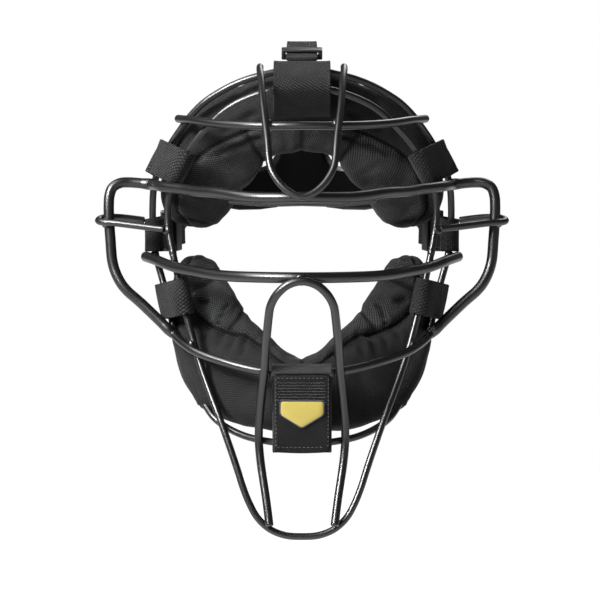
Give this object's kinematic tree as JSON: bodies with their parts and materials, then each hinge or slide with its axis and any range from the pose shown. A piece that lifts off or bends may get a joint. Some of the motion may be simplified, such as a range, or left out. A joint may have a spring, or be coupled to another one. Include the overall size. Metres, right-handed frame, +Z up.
{
  "type": "wire catchers face mask",
  "caption": "Wire face mask with eye, brow, mouth and ear bars, a throat extension, strapped forehead and chin pads, and an elastic head harness with a back pad.",
  "frame": {"origin": "bridge of the wearer's nose, midway between the eyes, on the mask's plane of symmetry", "axes": "+X to the left hand of a wearer who faces -Y, +Y from the bars towards the back of the head, +Z up towards the crown"},
  "size_m": [0.252, 0.2874, 0.3069],
  "materials": {
    "cage_steel": "semi-gloss black powder coat",
    "pad_fabric": "charcoal woven air mesh",
    "pad_foam": "open-cell foam",
    "tab_webbing": "charcoal twill webbing",
    "badge": "yellow satin-stitch embroidery",
    "harness_elastic": "black woven elastic",
    "adjuster_plastic": "black moulded plastic",
    "back_plate_plastic": "black moulded plastic, fine grain",
    "liner_fabric": "black brushed liner"
  },
  "bodies": {
    "root": {"rear_rim_upper": "cage_steel", "rear_rim_lower": "cage_steel", "front_hoop_upper": "cage_steel", "front_hoop_lower": "cage_steel", "brow_bar": "cage_steel", "brow_loop": "cage_steel", "upper_eye_bar": "cage_steel", "upper_eye_bar_backing": "cage_steel", "lower_eye_bar": "cage_steel", "mouth_bar": "cage_steel", "nose_loop": "cage_steel", "ear_guard_left": "cage_steel", "ear_guard_right": "cage_steel", "ear_loop_left": "cage_steel", "ear_loop_right": "cage_steel", "forehead_pad_cover": "pad_fabric", "forehead_pad_foam": "pad_foam", "chin_pad_cover": "pad_fabric", "chin_pad_foam": "pad_foam", "top_tab": "tab_webbing", "chin_tab": "tab_webbing", "upper_tab_left": "tab_webbing", "upper_tab_right": "tab_webbing", "lower_tab_left": "tab_webbing", "lower_tab_right": "tab_webbing", "top_strap": "harness_elastic", "side_strap_left": "harness_elastic", "side_strap_right": "harness_elastic"},
    "chin_flap": {"chin_flap": "tab_webbing", "chin_flap_badge": "badge"},
    "upper_flap_left": {"upper_tab_flap_left": "tab_webbing"},
    "upper_flap_right": {"upper_tab_flap_right": "tab_webbing"},
    "lower_flap_left": {"lower_tab_flap_left": "tab_webbing"},
    "lower_flap_right": {"lower_tab_flap_right": "tab_webbing"},
    "top_adjuster": {"top_slider": "adjuster_plastic"},
    "left_adjuster": {"side_slider_left": "adjuster_plastic"},
    "right_adjuster": {"side_slider_right": "adjuster_plastic"},
    "back_pad": {"back_plate": "back_plate_plastic", "back_liner": "liner_fabric"}
  },
  "joints": [
    {"name": "chin_flap_open", "type": "hinge", "parent": "root", "child": "chin_flap", "pos_m": [0, -0.06816, -0.08369], "axis": [-1, 0, 0], "range_deg": [0, 110]},
    {"name": "harness_stretch", "type": "slide", "parent": "root", "child": "back_pad", "axis": [0, 1, 0], "range_m": [0, 0.035], "stiffness_N_per_m": 260},
    {"name": "top_adjuster_slide", "type": "slide", "parent": "root", "child": "top_adjuster", "axis": [0, 0.9695, 0.2451], "range_m": [-0.012, 0.02]},
    {"name": "left_adjuster_slide", "type": "slide", "parent": "root", "child": "left_adjuster", "axis": [0.2021, 0.9757, 0.085], "range_m": [-0.02, 0.01]},
    {"name": "upper_flap_left_open", "type": "hinge", "parent": "root", "child": "upper_flap_left", "pos_m": [-0.09013, 0.0035, 0.04841], "axis": [0.4695, 0, 0.8829], "range_deg": [0, 90]},
    {"name": "lower_flap_left_open", "type": "hinge", "parent": "root", "child": "lower_flap_left", "pos_m": [-0.08703, 0.0045, -0.04101], "axis": [-0.2079, 0, 0.9781], "range_deg": [0, 90]},
    {"name": "right_adjuster_slide", "type": "slide", "parent": "root", "child": "right_adjuster", "axis": [-0.2021, 0.9757, 0.085], "range_m": [-0.02, 0.01]},
    {"name": "upper_flap_right_open", "type": "hinge", "parent": "root", "child": "upper_flap_right", "pos_m": [0.09013, 0.0035, 0.04841], "axis": [0.4695, 0, -0.8829], "range_deg": [0, 90]},
    {"name": "lower_flap_right_open", "type": "hinge", "parent": "root", "child": "lower_flap_right", "pos_m": [0.08703, 0.0045, -0.04101], "axis": [-0.2079, 0, -0.9781], "range_deg": [0, 90]}
  ]
}
